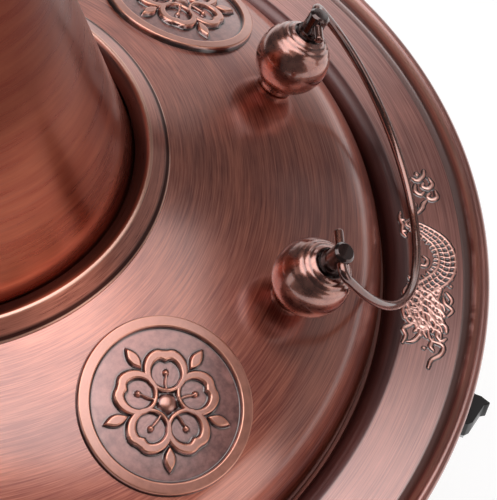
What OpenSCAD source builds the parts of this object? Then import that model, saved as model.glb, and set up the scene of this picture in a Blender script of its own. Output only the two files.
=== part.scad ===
// Chimney hot pot: a ring-shaped soup basin round a charcoal chimney, on a stove foot,
// with a lift-off ring lid, two folding bails, a chimney cap and an ash door.
// Millimetres, +Z up. The origin is the middle of the foot, on the table.
// +X runs through one of the two lid bails; the ash door faces -Y.

/* [Basin] */
// Outer radius of the rolled rim
rim_r = 180; // [172:1:190]
// Height of the rim above the table
rim_h = 140; // [132:1:152]
// Diameter of the rolled bead on the rim
lip_d = 4; // [3:0.5:5]
// Width of the sloping channel just inside the bead
channel_w = 3.4; // [2.4:0.1:5]
// Depth of the flange below the middle of the bead
flange_drop = 2.5; // [1.5:0.1:4]
// Width of the flat flange between the channel and the rounded mouth
flange_w = 19; // [16:0.5:23]
// Radius of the rounded mouth where the flange turns down
mouth_fillet = 7; // [5:0.5:8]
// Height of the straight wall between the rounded mouth and the lid ledge
mouth_wall = 1; // [0.5:0.1:3]
// Width of the ledge that the lid stands on
ledge_w = 6; // [4:0.5:8]
// Depth of the soup channel below the rim
basin_depth = 63; // [54:1:66]
// Radius of the bend between the basin wall and its bottom
basin_bend = 38; // [24:1:40]
// Thickness of the spun sheet of the basin
sheet = 1.6; // [1.2:0.1:2.2]

/* [Chimney] */
// Width of the soup channel at the rim, from the basin wall to the chimney
soup_w = 67.8; // [65:0.2:70]
// Height of the chimney mouth above the rim
chimney_rise = 150; // [130:1:165]
// Angle between the chimney wall and the vertical
chimney_taper = 16; // [14.5:0.1:16.5]
// Thickness of the chimney wall
chimney_wall = 1.6; // [1.2:0.1:2.2]
// Radius of the rolled bead round the chimney mouth
mouth_bead_r = 1.8; // [1.2:0.1:2.4]
// Height above the rim of the seam between the fire pot and the chimney
seam_rise = 20; // [14:1:26]
// Width of the flange at the foot of the fire pot
chimney_foot_w = 9; // [6:0.5:11]

/* [Lid] */
// Gap between the lid's edge and the basin mouth
lid_gap = 1.6; // [1:0.1:2.5]
// Height of the centre of the lid's rounded shoulder above the lid's edge
shoulder_rise = 2.66; // [0:0.01:4]
// Height of the dome's surface above the rim, at the collar
dome_rise = 38; // [34:0.5:42]
// Radius of the rounded shoulder of the lid
shoulder_r = 26; // [20:0.5:30]
// Thickness of the lid's sheet
lid_sheet = 1.6; // [1.2:0.1:2]
// Gap between the chimney and the collar's inner edge
chimney_gap = 0.5; // [0.4:0.1:1.2]
// Width of the polished dish inside the collar's crest
dish_w = 4.6; // [3.5:0.1:6]
// Depth of the polished dish below the collar's crest
dish_drop = 1.8; // [1:0.1:2.4]
// Width of the sloping band outside the collar's crest
band_w = 6.4; // [5:0.1:8]
// Fall of the sloping band from the crest to its outer edge
band_drop = 4.2; // [3:0.1:5]
// Height of the collar's outer edge above the dome
band_edge = 0.7; // [0.4:0.1:1.2]
// Gap between the lid's skirt and the basin wall
skirt_gap = 2.2; // [1.5:0.1:3]
// Thickness of the lid's skirt
skirt_t = 1.4; // [1:0.1:2]
// Depth of the skirt below the lid's edge
skirt_drop = 12; // [8:1:16]

/* [Medallions] */
// Distance of a medallion's centre from the lid's edge, seen from above
medal_in = 36.8; // [35.4:0.2:38]
// Outer radius of a medallion
medal_r = 26.8; // [25:0.2:28]
// Width of a medallion's raised ring
medal_ring_w = 4.2; // [3:0.1:5.5]
// Half of the angle between the two medallions on one side
medal_half_a = 46.5; // [45:0.5:48]
// Turn of the medallions from the bails' middle line
medal_turn = -3; // [-4:0.5:0]
// Height of a medallion's ring and blossom above the dome
medal_rise = 2; // [1.2:0.1:2.4]
// Height of a medallion's ground above the dome
medal_ground = 0.5; // [0.3:0.1:0.8]

/* [Ball knobs and bails] */
// Radius of a ball knob
ball_r = 12.2; // [11:0.1:13]
// Distance of a ball's centre from the lid's edge, seen from above
ball_in = 22.4; // [21:0.1:24]
// Distance of a ball's centre from the middle line of its bail
ball_side = 43.64; // [42:0.02:45]
// Height of a ball's neck above the dome
neck_h = 0.8; // [0.5:0.1:2]
// Radius of a ball's neck
neck_r = 6; // [5:0.5:7]
// Radius of a ball's stud
stud_r = 2.5; // [2:0.1:3]
// Distance from a ball's centre to the hole in its eye post
eye_at = 17; // [16:0.5:19]
// Radius of an eye post
eye_r = 3.4; // [3:0.1:4.2]
// Length of an eye post past its hole
eye_past = 2.9; // [2.7:0.1:5]
// Radius of a bail's wire
wire_r = 1.5; // [1.2:0.1:1.8]
// Radial clearance of the wire in an eye post
wire_fit = 0.06; // [0.03:0.01:0.1]
// Radius of the bend between the bail's bow and its pins
bail_bend = 3; // [2.5:0.5:5]
// Length of straight wire between a bail's bend and its bow
bail_leg = 4; // [2:0.5:5]
// Length of wire that sticks out past an eye post
tip_out = 5.5; // [3:0.5:8]
// Gap between a folded bail and the flange
bail_rest_gap = 1.6; // [1.2:0.1:2.4]

/* [Stove foot] */
// Reach of the drum outside the foot of the fire pot
drum_out = 10.2; // [9.8:0.1:14]
// Thickness of the drum's sheet
drum_sheet = 1.6; // [1.2:0.1:2]
// Width of the foot's flare outside the drum
flare_w = 14; // [10:1:18]
// Height of the flat ring under the foot
foot_ring_h = 5; // [4:0.5:6]
// Radial width of the flat ring under the foot
foot_ring_w = 6; // [4:0.5:8]
// Height of the air holes' centres above the table
vent_z = 45; // [40:1:48]
// Radius of an air hole
vent_r = 5; // [4:0.5:6]
// Number of air holes round the back and sides
vent_count = 9; // [5:1:11]
// Thickness of the grate
grate_t = 3; // [2.5:0.5:3.5]
// Width of a slot in the grate
slot_w = 5; // [4:0.5:6]

/* [Ash door] */
// Width of the door opening
door_w = 58; // [48:1:62]
// Height of the door opening
door_h = 32; // [26:1:34]
// Height of the door opening's lower edge above the table
door_z = 22; // [21:0.5:24]
// Overlap of the door on the drum round the opening
door_lap = 3; // [2:0.5:4]
// Thickness of the door
door_t = 1.6; // [1.2:0.1:2]
// Gap between the door and the drum
door_gap = 0.4; // [0.3:0.1:0.8]
// Radius of the door's hinge pin
pin_r = 1.3; // [1:0.1:1.5]
// Radial clearance of the hinge pin
pin_fit = 0.06; // [0.03:0.01:0.1]
// Radius of the hinge knuckles
knuckle_r = 2.8; // [2.6:0.1:3.2]

/* [Side ears] */
// Angle of one ear from +X, seen from above
ear_az = -18.6; // [-40:0.1:40]
// Height of an ear's top below the rim
ear_drop = 12; // [9:0.5:14]
// Thickness of an ear
ear_t = 8; // [6:0.5:11]
// Width of an ear
ear_w = 23; // [20:0.5:28]
// Reach of an ear's crest outside the rim
ear_out = 6.2; // [5:0.1:8]
// Width of an ear's crest
ear_crest_w = 3; // [2:0.5:5]
// Thickness of an ear's steel bracket
bracket_t = 2; // [1.5:0.1:2.5]

/* [Chimney cap] */
// Gap between the cap's skirt and the bead of the chimney mouth
cap_gap = 0.6; // [0.4:0.1:1]
// Thickness of the cap's sheet
cap_sheet = 1.4; // [1:0.1:2]
// Depth of the cap's skirt
cap_skirt = 7; // [5:0.5:9]
// Height of the cap's dome
cap_dome = 12; // [9:0.5:15]
// Radius of the cap's knob
knob_r = 8; // [7:0.5:10]

/* [Hidden] */

$fn = 96;
copper = "#8a5145";
dark_copper = "#5e3a34";
bright_copper = "#c08a76";
black = "#17130f";
steel = "#8d8f92";
eps = 0.01;
seat = 0.2;
solder = 0.12;

// Points of an arc about [r, z], from angle a0 to a1, in n steps
function arc(r, z, rad, a0, a1, n) = [for (i = [0:n]) let (a = a0 + (a1 - a0) * i / n)
    [r + rad * cos(a), z + rad * sin(a)]];

// Basin
flange_z = rim_h - flange_drop;
flange_out_r = rim_r - lip_d - channel_w;
fillet_at_r = flange_out_r - flange_w;
mouth_r = fillet_at_r - mouth_fillet;
ledge_z = flange_z - mouth_fillet - mouth_wall;
wall_r = mouth_r - ledge_w;
bottom_z = rim_h - basin_depth;
under_z = bottom_z - sheet;
bend_at = [wall_r - basin_bend, bottom_z + basin_bend];

// Chimney
chimney_top = rim_h + chimney_rise;
chimney_top_r = wall_r - soup_w - chimney_rise * tan(chimney_taper);
function chimney_r(z) = chimney_top_r + (chimney_top - z) * tan(chimney_taper);
chimney_in = chimney_wall / cos(chimney_taper);
chimney_foot_z = under_z - chimney_wall;
seam_z = rim_h + seam_rise;

// Lid
lid_r = mouth_r - lid_gap;
lid_z = ledge_z + seat;
collar_bore_z = rim_h + dome_rise + band_edge + band_drop - dish_drop - lid_sheet;
collar_bore_r = chimney_r(collar_bore_z) + chimney_gap;
crest_r = collar_bore_r + dish_w;
crest_z = rim_h + dome_rise + band_edge + band_drop;
collar_r = crest_r + band_w;
shoulder_at = [lid_r - shoulder_r, lid_z + shoulder_rise];
// The dome's sphere passes the collar's edge and meets the shoulder's circle along a tangent
dome_fall = rim_h + dome_rise - shoulder_at[1];
dome_k = pow(shoulder_r, 2) + pow(collar_r, 2) - pow(shoulder_at[0], 2) - pow(dome_fall, 2);
dome_h = (-dome_k * dome_fall
    + shoulder_r * sqrt(dome_k * dome_k + 4 * pow(collar_r, 2) * (pow(dome_fall, 2) - pow(shoulder_r, 2))))
    / (2 * (pow(dome_fall, 2) - pow(shoulder_r, 2)));
dome_z = rim_h + dome_rise - dome_h;
dome_r = norm([collar_r, dome_h]);
shoulder_a = acos(shoulder_at[0] / (dome_r - shoulder_r));
skirt_r = wall_r - skirt_gap;
lid_hole_r = chimney_r(rim_h + dome_rise - lid_sheet) + chimney_gap + 1;
function dome_at(r, rad) = dome_z + sqrt(rad * rad - r * r);

// Balls and bails: a ball stands square to the dome, tilted by ball_tilt
ball_at_r = lid_r - ball_in;
ball_az = asin(ball_side / ball_at_r);
ball_up = dome_r + neck_h + ball_r;
ball_tilt = asin(ball_at_r / ball_up);
eye_up = ball_up + eye_at;
hinge_x = eye_up * sin(ball_tilt) * cos(ball_az);
hinge_y = eye_up * sin(ball_tilt) * sin(ball_az);
hinge_z = dome_z + eye_up * cos(ball_tilt);
pin_side = 0.5;
eye_edge = 0.8;
bow_r = hinge_y + eye_r + pin_side + bail_bend;
bail_reach = bail_bend + bail_leg + bow_r;
bail_fall = asin((hinge_z - flange_z - wire_r - bail_rest_gap) / bail_reach);
tip_y = hinge_y - eye_r - tip_out;
ball_angles = [ball_az, -ball_az, 180 - ball_az, 180 + ball_az];
washer_r = 6;
washer_t = 1;
nut_r = 4.6;
nut_t = 3.2;
stud_fit = 0.15;

// Medallions
medal_tilt = asin((lid_r - medal_in) / dome_r);
medal_angles = [medal_turn + medal_half_a, medal_turn + 180 - medal_half_a,
    medal_turn + 180 + medal_half_a, medal_turn - medal_half_a];
petal_at = 9.2;
petal_r = 6.4;
petal_line = 2;
pistil_r = 3;

// Stove foot
drum_top = chimney_foot_z;
drum_r = chimney_r(chimney_foot_z) + drum_out;
drum_in = drum_r - drum_sheet;
foot_r = drum_r + flare_w;
shelf_z = drum_top - drum_sheet - grate_t - seat;
shelf_t = 1.6;
shelf_w = 13;
grate_r = drum_in - 3;
floor_t = 1.6;
floor_z = foot_ring_h - floor_t;
slot_pitch = slot_w * 2.4;
slot_len = 1.5 * chimney_r(chimney_foot_z);

// Ash door
door_in = drum_r + door_gap;
door_half = asin(door_w / 2 / drum_r) + door_lap * 180 / (PI * drum_r);
hinge_gap = 0.6;
door_hinge_r = drum_r + knuckle_r + hinge_gap;
door_hinge_a = -90 - door_half - 2;
door_top = door_z + door_h;
knuckle_h = (door_h + 2 * door_lap) / 3;
knuckle_play = 0.3;
door_knob_a = -90 + door_half * 0.62;

// Ears
ear_z = rim_h - ear_drop - ear_t;
ear_in = mouth_r + 5;
ear_end = rim_r + 2.2;
ear_shoulder = rim_r + 4.5;
bracket_in = wall_r + sheet;
bracket_half = 5;
rivet_r = bracket_t * 0.75;
ear_screw_r = 2;
ear_screw_at = rim_r - 14;
ear_angles = [ear_az, ear_az + 180];

// Chimney cap
bead_top = chimney_top + mouth_bead_r;
cap_in = chimney_top_r + mouth_bead_r + cap_gap;
cap_r = cap_in + cap_sheet;
cap_z = bead_top + seat;
cap_top = cap_z + cap_dome;
cap_screw_r = 1.6;

// A ring of rectangular section between two radii and two heights
module ring(r0, r1, z0, z1) {
    translate([0, 0, z0]) difference() {
        cylinder(r = r1, h = z1 - z0);
        translate([0, 0, -1]) cylinder(r = r0, h = z1 - z0 + 2);
    }
}

// A wedge of a full turn, from angle a0 to a1, that reaches past radius r
module wedge(a0, a1, r, z0, z1) {
    reach = r / cos((a1 - a0) / 2) + 1;
    translate([0, 0, z0]) linear_extrude(z1 - z0)
        polygon([[0, 0], [reach * cos(a0), reach * sin(a0)], [reach * cos(a1), reach * sin(a1)]]);
}

// Places its child square to the dome: +Z is the dome's normal, measured from the dome's centre
module on_dome(az, tilt) {
    translate([0, 0, dome_z]) rotate([0, 0, az]) rotate([0, tilt, 0]) children();
}

// Flat ring that the pot stands on
module foot_ring() {
    color(dark_copper) ring(foot_r - foot_ring_w, foot_r, 0, foot_ring_h);
}

// Drum of the stove: top flange, straight wall and flared foot, with air holes and the door opening
module stove_drum() {
    flare_z = foot_ring_h + drum_sheet + flare_w;
    top_in = chimney_r(chimney_foot_z) - 1;
    color(copper) difference() {
        rotate_extrude() polygon(concat(
            arc(foot_r, flare_z, flare_w + drum_sheet, -180, -90, 8),
            arc(foot_r, flare_z, flare_w, -90, -180, 8),
            [[drum_r, drum_top], [top_in, drum_top],
                [top_in, drum_top - drum_sheet], [drum_in, drum_top - drum_sheet]]));
        translate([-door_w / 2, -drum_r - 2, door_z]) cube([door_w, drum_r * 0.4, door_h]);
        for (i = [0:vent_count - 1])
            rotate([0, 0, -90 + 360 * (i + 1.5) / (vent_count + 2)])
                translate([drum_in - 3, 0, vent_z]) rotate([0, 90, 0])
                    cylinder(r = vent_r, h = drum_sheet + 6);
    }
}

// Plate that catches the ash
module stove_floor() {
    color(dark_copper) translate([0, 0, floor_z])
        cylinder(r = foot_r - foot_ring_w - solder, h = floor_t);
}

// Ring inside the drum that carries the grate
module grate_shelf() {
    color(steel) ring(drum_in - shelf_w, drum_in - solder, shelf_z - shelf_t, shelf_z);
}

// Cast grate under the fire, with parallel slots
module grate() {
    color("#3a3836") translate([0, 0, shelf_z]) difference() {
        cylinder(r = grate_r, h = grate_t);
        for (i = [-3:3]) translate([i * slot_pitch - slot_w / 2, -slot_len / 2 + 6 * abs(i), -1])
            cube([slot_w, slot_len - 12 * abs(i), grate_t + 2]);
    }
}

// Conical fire pot inside the basin, with its foot flange
module fire_pot() {
    foot = chimney_r(chimney_foot_z);
    color(copper) rotate_extrude() polygon([[foot - chimney_in, chimney_foot_z],
        [foot + chimney_foot_w, chimney_foot_z], [foot + chimney_foot_w, under_z],
        [chimney_r(under_z), under_z], [chimney_r(seam_z), seam_z],
        [chimney_r(seam_z) - chimney_in, seam_z]]);
}

// Tapered chimney brazed on the fire pot, with a rolled mouth
module chimney() {
    color(copper) rotate_extrude() union() {
        polygon([[chimney_r(seam_z) - chimney_in, seam_z], [chimney_r(seam_z), seam_z],
            [chimney_top_r, chimney_top], [chimney_top_r - chimney_in, chimney_top]]);
        translate([chimney_top_r - chimney_in / 2, chimney_top]) circle(mouth_bead_r);
    }
}

// Basin: rolled bead, channel, flange, rounded mouth, lid ledge and soup channel
module basin() {
    hole = chimney_r(under_z) + seat;
    color(copper) rotate_extrude() union() {
        translate([rim_r - lip_d / 2, rim_h]) circle(lip_d / 2);
        polygon(concat(
            [[rim_r - lip_d / 2, rim_h + lip_d / 4], [rim_r - lip_d, rim_h + lip_d / 4],
                [rim_r - lip_d - channel_w * 0.45, rim_h - flange_drop * 0.2],
                [rim_r - lip_d - channel_w * 0.8, rim_h - flange_drop * 0.85],
                [flange_out_r, flange_z]],
            arc(fillet_at_r, flange_z - mouth_fillet, mouth_fillet, 90, 180, 8),
            [[mouth_r, ledge_z], [wall_r, ledge_z]],
            arc(bend_at[0], bend_at[1], basin_bend, 0, -90, 10),
            [[hole, bottom_z], [hole, under_z]],
            arc(bend_at[0], bend_at[1], basin_bend + sheet, -90, 0, 10),
            [[wall_r + sheet, ledge_z - sheet], [mouth_r + sheet, ledge_z - sheet]],
            arc(fillet_at_r, flange_z - mouth_fillet, mouth_fillet - sheet, 180, 90, 8),
            [[flange_out_r + 0.6, flange_z - sheet], [rim_r - lip_d / 2, rim_h - sheet]]));
    }
}

// Black ear under the rim, with a crest that shows past it
module ear(az) {
    half = ear_w / 2;
    peak = rim_r + ear_out;
    color(black) rotate([0, 0, az]) translate([0, 0, ear_z]) difference() {
        linear_extrude(ear_t) polygon([[ear_in, -half], [ear_end - 1.2, -half], [ear_end, -half + 1.2],
            [ear_shoulder, -ear_crest_w], [peak, -ear_crest_w * 0.7], [peak, -ear_crest_w * 0.5],
            [peak - 1.4, -ear_crest_w * 0.3], [rim_r + 3, 0], [rim_r + 0.8, 0.2], [rim_r - 4, half],
            [ear_in, half]]);
        translate([ear_screw_at, 0, -1]) cylinder(r = ear_screw_r + 0.2, h = ear_t * 0.75 + 1);
    }
}

// Steel bracket under an ear: a curved plate on the basin wall and a tongue
module ear_bracket(az) {
    plate_top = ledge_z - sheet - seat;
    tongue_w = ear_w * 0.96;
    color(steel) rotate([0, 0, az]) difference() {
        union() {
            intersection() {
                ring(bracket_in + eps, bracket_in + bracket_t, ear_z - bracket_t, plate_top);
                wedge(-bracket_half, bracket_half, bracket_in + bracket_t, ear_z - bracket_t, plate_top);
            }
            translate([bracket_in + bracket_t / 2, -tongue_w / 2, ear_z - bracket_t])
                cube([rim_r - bracket_in, tongue_w, bracket_t]);
        }
        translate([ear_screw_at, 0, ear_z - bracket_t - 1])
            cylinder(r = ear_screw_r + 0.2, h = bracket_t + 2);
        for (side = [-1, 1]) rotate([0, 0, side * bracket_half * 0.6])
            translate([bracket_in - 1, 0, (ear_z + plate_top) / 2]) rotate([0, 90, 0])
                cylinder(r = rivet_r + 0.1, h = bracket_t + 2);
    }
}

// Screws that hold the ears on their brackets
module ear_screws() {
    color(steel) for (az = ear_angles) rotate([0, 0, az])
        translate([ear_screw_at, 0, ear_z - bracket_t]) {
            translate([0, 0, -2]) cylinder(r = ear_screw_r * 1.9, h = 2);
            cylinder(r = ear_screw_r, h = bracket_t + ear_t * 0.7);
        }
}

// Rivets that hold the brackets on the basin
module ear_rivets() {
    color(steel) for (az = ear_angles) for (side = [-1, 1])
        rotate([0, 0, az + side * bracket_half * 0.6])
            translate([bracket_in + eps, 0, (ear_z + ledge_z - sheet - seat) / 2])
                rotate([0, 90, 0]) {
                    cylinder(r = rivet_r, h = bracket_t);
                    translate([0, 0, bracket_t])
                        cylinder(r1 = rivet_r * 2, r2 = rivet_r * 1.3, h = rivet_r);
                }
}

// Places its child on the axis of the ash door's hinge
module at_door_hinge() {
    translate([door_hinge_r * cos(door_hinge_a), door_hinge_r * sin(door_hinge_a), 0]) children();
}

// Fixed leaf of the door's hinge: middle knuckle and a plate on the drum
module door_hinge() {
    z0 = door_z - door_lap + knuckle_h + knuckle_play;
    z1 = z0 + knuckle_h - 2 * knuckle_play;
    leaf_a = 5;
    color(dark_copper) difference() {
        union() {
            at_door_hinge() translate([0, 0, z0]) cylinder(r = knuckle_r, h = z1 - z0);
            intersection() {
                ring(drum_r + eps, drum_r + 1.6, z0, z1);
                wedge(door_hinge_a - leaf_a, door_hinge_a, drum_r + 2, z0, z1);
            }
        }
        at_door_hinge() cylinder(r = pin_r + pin_fit, h = door_top + 10);
    }
}

// Hinge pin of the ash door, with a small head on top
module door_hinge_pin() {
    low = door_z - door_lap - 1;
    high = door_top + door_lap;
    color(steel) at_door_hinge() {
        translate([0, 0, low]) cylinder(r = pin_r, h = high - low + knuckle_play);
        translate([0, 0, high + knuckle_play]) cylinder(r = knuckle_r - 0.4, h = 1.4);
    }
}

// Curved ash door that laps the opening, with its two knuckles
module ash_door() {
    z0 = door_z - door_lap;
    z1 = door_top + door_lap;
    color(copper) difference() {
        union() {
            intersection() {
                ring(door_in, door_in + door_t, z0, z1);
                wedge(door_hinge_a + 1, -90 + door_half, door_in + door_t, z0, z1);
            }
            for (z = [z0, z1 - knuckle_h]) at_door_hinge() translate([0, 0, z])
                cylinder(r = knuckle_r, h = knuckle_h);
        }
        at_door_hinge() translate([0, 0, z0 - 1]) cylinder(r = pin_r + pin_fit, h = z1 - z0 + 2);
        at_door_hinge() translate([0, 0, z0 + knuckle_h])
            cylinder(r = knuckle_r + 0.5, h = knuckle_h);
        rotate([0, 0, door_knob_a]) translate([door_in - 2, 0, door_z + door_h / 2])
            rotate([0, 90, 0]) cylinder(r = 1.7, h = door_t + 4);
    }
}

// Black knob of the ash door
module door_knob() {
    color(black) rotate([0, 0, door_knob_a])
        translate([door_in + door_t + 0.05, 0, door_z + door_h / 2]) rotate([0, 90, 0])
            difference() {
                rotate_extrude() polygon([[0, 0], [3.6, 0], [3, 4], [4, 6], [6, 8], [6.4, 10.5],
                    [5.4, 12.6], [3, 13.6], [0, 13.8]]);
                translate([0, 0, -1]) cylinder(r = 1.6, h = 8);
            }
}

// Screw of the ash door's knob
module door_knob_screw() {
    color(steel) rotate([0, 0, door_knob_a])
        translate([door_in + 0.3, 0, door_z + door_h / 2]) rotate([0, 90, 0])
            cylinder(r = 1.5, h = 7.5);
}

// Dome of the lid with its rounded shoulder and edge
module lid_shell() {
    color(copper) difference() {
        rotate_extrude() polygon(concat(
            [for (i = [0:14]) let (r = lid_hole_r + (dome_r * cos(shoulder_a) - lid_hole_r) * i / 14)
                [r, dome_at(r, dome_r)]],
            arc(shoulder_at[0], shoulder_at[1], shoulder_r, shoulder_a * 0.9, 0, 9),
            [[lid_r, lid_z], [lid_r - lid_sheet, lid_z]],
            arc(shoulder_at[0], shoulder_at[1], shoulder_r - lid_sheet, 0, shoulder_a * 0.9, 9),
            [for (i = [14:-1:0])
                let (r = lid_hole_r + ((dome_r - lid_sheet) * cos(shoulder_a) - lid_hole_r) * i / 14)
                [r, dome_at(r, dome_r - lid_sheet)]]));
        for (az = ball_angles) on_dome(az, ball_tilt) translate([0, 0, dome_r - 6])
            cylinder(r = stud_r + stud_fit, h = 12);
    }
}

// Locating ring inside the lid that drops into the basin
module lid_skirt() {
    top = shoulder_at[1] + sqrt(pow(shoulder_r - lid_sheet, 2) - pow(skirt_r - shoulder_at[0], 2));
    color(dark_copper) ring(skirt_r - skirt_t, skirt_r, lid_z - skirt_drop, top - seat);
}

// Collar round the chimney: sloping band, crest and polished dish
module lid_collar() {
    edge_z = crest_z - band_drop;
    color(bright_copper) rotate_extrude() polygon([
        [collar_r, dome_at(collar_r, dome_r) + solder], [collar_r, edge_z],
        [crest_r + 0.8, crest_z - 0.3], [crest_r, crest_z], [crest_r - 0.6, crest_z - 0.2],
        [collar_bore_r + dish_w * 0.45, crest_z - dish_drop], [collar_bore_r, crest_z - dish_drop],
        [collar_bore_r, collar_bore_z], [lid_hole_r - seat, collar_bore_z],
        [lid_hole_r - seat, dome_at(lid_hole_r, dome_r) + solder]]);
}

// The part of its child between the dome and a given height above it, square to a medallion
module raised(az, rise) {
    intersection() {
        translate([0, 0, dome_z]) sphere(dome_r + rise);
        on_dome(az, medal_tilt) translate([0, 0, dome_r - 8]) children();
    }
}

// Medallion on the dome: ground, raised ring and a five-petalled blossom
module medallion(az) {
    color(bright_copper) difference() {
        union() {
            raised(az, medal_ground) cylinder(r = medal_r - medal_ring_w / 2, h = 16);
            raised(az, medal_rise) difference() {
                cylinder(r = medal_r, h = 16);
                translate([0, 0, -1]) cylinder(r = medal_r - medal_ring_w, h = 18);
            }
            raised(az, medal_rise) for (i = [0:4]) rotate([0, 0, 72 * i])
                translate([petal_at, 0, 0]) difference() {
                    cylinder(r = petal_r, h = 16, $fn = 48);
                    translate([0, 0, -1]) cylinder(r = petal_r - petal_line, h = 18, $fn = 48);
                }
            raised(az, medal_rise) cylinder(r = pistil_r, h = 16, $fn = 48);
        }
        translate([0, 0, dome_z]) sphere(dome_r + solder);
    }
}

// Turned ball with its neck and its stud through the lid
module ball(az) {
    color(bright_copper) on_dome(az, ball_tilt) {
        difference() {
            translate([0, 0, ball_up]) sphere(ball_r);
            translate([0, 0, ball_up + ball_r - 1.2]) cylinder(r = eye_r + 0.8, h = 3);
        }
        translate([0, 0, dome_r + 0.15]) cylinder(r = neck_r, h = neck_h + ball_r * 0.5);
        translate([0, 0, dome_r - lid_sheet - washer_t - nut_t - 2])
            cylinder(r = stud_r, h = ball_r);
    }
}

// Eye post on a ball, cross-drilled for the bail's wire
module eye_post(az, side) {
    color(dark_copper) difference() {
        on_dome(az, ball_tilt) {
            translate([0, 0, ball_up + ball_r - 1.2 + eps]) {
                cylinder(r = eye_r, h = eye_at - ball_r + 1.2 - eps + eye_past - eye_edge);
                cylinder(r = eye_r + 0.7, h = 1.6);
            }
            translate([0, 0, ball_up + eye_at + eye_past - eye_edge])
                cylinder(r1 = eye_r, r2 = eye_r - eye_edge, h = eye_edge);
        }
        translate([side * hinge_x, -hinge_y * 2, hinge_z]) rotate([-90, 0, 0])
            cylinder(r = wire_r + wire_fit, h = hinge_y * 4);
    }
}

// Washers under the lid, one for each ball
module ball_washers() {
    color(steel) for (az = ball_angles) on_dome(az, ball_tilt)
        translate([0, 0, dome_r - lid_sheet - washer_t - 0.1]) difference() {
            cylinder(r = washer_r, h = washer_t);
            translate([0, 0, -1]) cylinder(r = stud_r + stud_fit, h = washer_t + 2);
        }
}

// Hexagon nuts under the washers
module ball_nuts() {
    color(steel) for (az = ball_angles) on_dome(az, ball_tilt)
        translate([0, 0, dome_r - lid_sheet - washer_t - nut_t - 0.1]) difference() {
            cylinder(r = nut_r, h = nut_t, $fn = 6);
            translate([0, 0, -1]) cylinder(r = stud_r + stud_fit, h = nut_t + 2);
        }
}

// Wire bail, drawn flat on its hinge axis, then folded down on to the flange
module bail(side) {
    color(dark_copper) rotate([0, 0, side > 0 ? 0 : 180])
        translate([hinge_x, 0, hinge_z]) rotate([0, bail_fall, 0]) {
            translate([bail_bend + bail_leg, 0, 0]) rotate([0, 0, -90]) rotate_extrude(angle = 180)
                translate([bow_r, 0]) circle(wire_r, $fn = 32);
            for (end = [0, 1]) mirror([0, end, 0]) {
                translate([bail_bend, bow_r, 0]) rotate([0, 90, 0])
                    cylinder(r = wire_r, h = bail_leg, $fn = 32);
                translate([bail_bend, bow_r - bail_bend, 0]) rotate([0, 0, 90])
                    rotate_extrude(angle = 90) translate([bail_bend, 0]) circle(wire_r, $fn = 32);
                translate([0, tip_y, 0]) rotate([-90, 0, 0])
                    cylinder(r = wire_r, h = bow_r - bail_bend - tip_y, $fn = 32);
            }
        }
}

// Spun cap over the chimney mouth
module chimney_cap() {
    edge = 5;
    brow = [cap_r * 0.4, cap_top - 1.5];
    color(copper) difference() {
        rotate_extrude() polygon(concat(
            [[cap_in, cap_z - cap_skirt], [cap_r, cap_z - cap_skirt], [cap_r, cap_z]],
            arc(cap_r - edge, cap_z, edge, 15, 70, 4),
            [brow, [0, cap_top], [0, cap_top - cap_sheet], [brow[0], brow[1] - cap_sheet]],
            arc(cap_r - edge, cap_z, edge - cap_sheet, 70, 15, 4),
            [[cap_in, cap_z]]));
        translate([0, 0, cap_z - 1]) cylinder(r = cap_screw_r + 0.2, h = cap_dome + 4);
    }
}

// Turned knob of the cap
module cap_knob() {
    color(black) translate([0, 0, cap_top + 0.1]) difference() {
        union() {
            cylinder(r = knob_r * 0.6, h = 1.6);
            cylinder(r = knob_r * 0.42, h = knob_r);
            translate([0, 0, knob_r * 1.35]) sphere(knob_r);
        }
        translate([0, 0, -1]) cylinder(r = cap_screw_r + 0.2, h = knob_r + 1);
    }
}

// Screw that holds the knob on the cap
module cap_screw() {
    color(steel) translate([0, 0, cap_top - cap_sheet - 0.6]) {
        translate([0, 0, -1.6]) cylinder(r = cap_screw_r * 2, h = 1.6);
        cylinder(r = cap_screw_r, h = knob_r + cap_sheet);
    }
}

foot_ring();
stove_drum();
stove_floor();
grate_shelf();
grate();
fire_pot();
chimney();
basin();
ear(ear_angles[0]);  // ear_right
ear(ear_angles[1]);  // ear_left
ear_bracket(ear_angles[0]);  // ear_bracket_right
ear_bracket(ear_angles[1]);  // ear_bracket_left
ear_screws();
ear_rivets();
door_hinge();
door_hinge_pin();
ash_door();
door_knob();
door_knob_screw();
lid_shell();
lid_skirt();
lid_collar();
medallion(medal_angles[0]);  // medallion_1
medallion(medal_angles[1]);  // medallion_2
medallion(medal_angles[2]);  // medallion_3
medallion(medal_angles[3]);  // medallion_4
ball(ball_angles[0]);  // ball_1
ball(ball_angles[1]);  // ball_2
ball(ball_angles[2]);  // ball_3
ball(ball_angles[3]);  // ball_4
eye_post(ball_angles[0], 1);  // eye_post_1
eye_post(ball_angles[1], 1);  // eye_post_2
eye_post(ball_angles[2], -1);  // eye_post_3
eye_post(ball_angles[3], -1);  // eye_post_4
ball_washers();
ball_nuts();
bail(1);  // bail_right
bail(-1);  // bail_left
chimney_cap();
cap_knob();
cap_screw();
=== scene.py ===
import bmesh
import bpy
import numpy as np
from mathutils import Matrix, Vector


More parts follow.
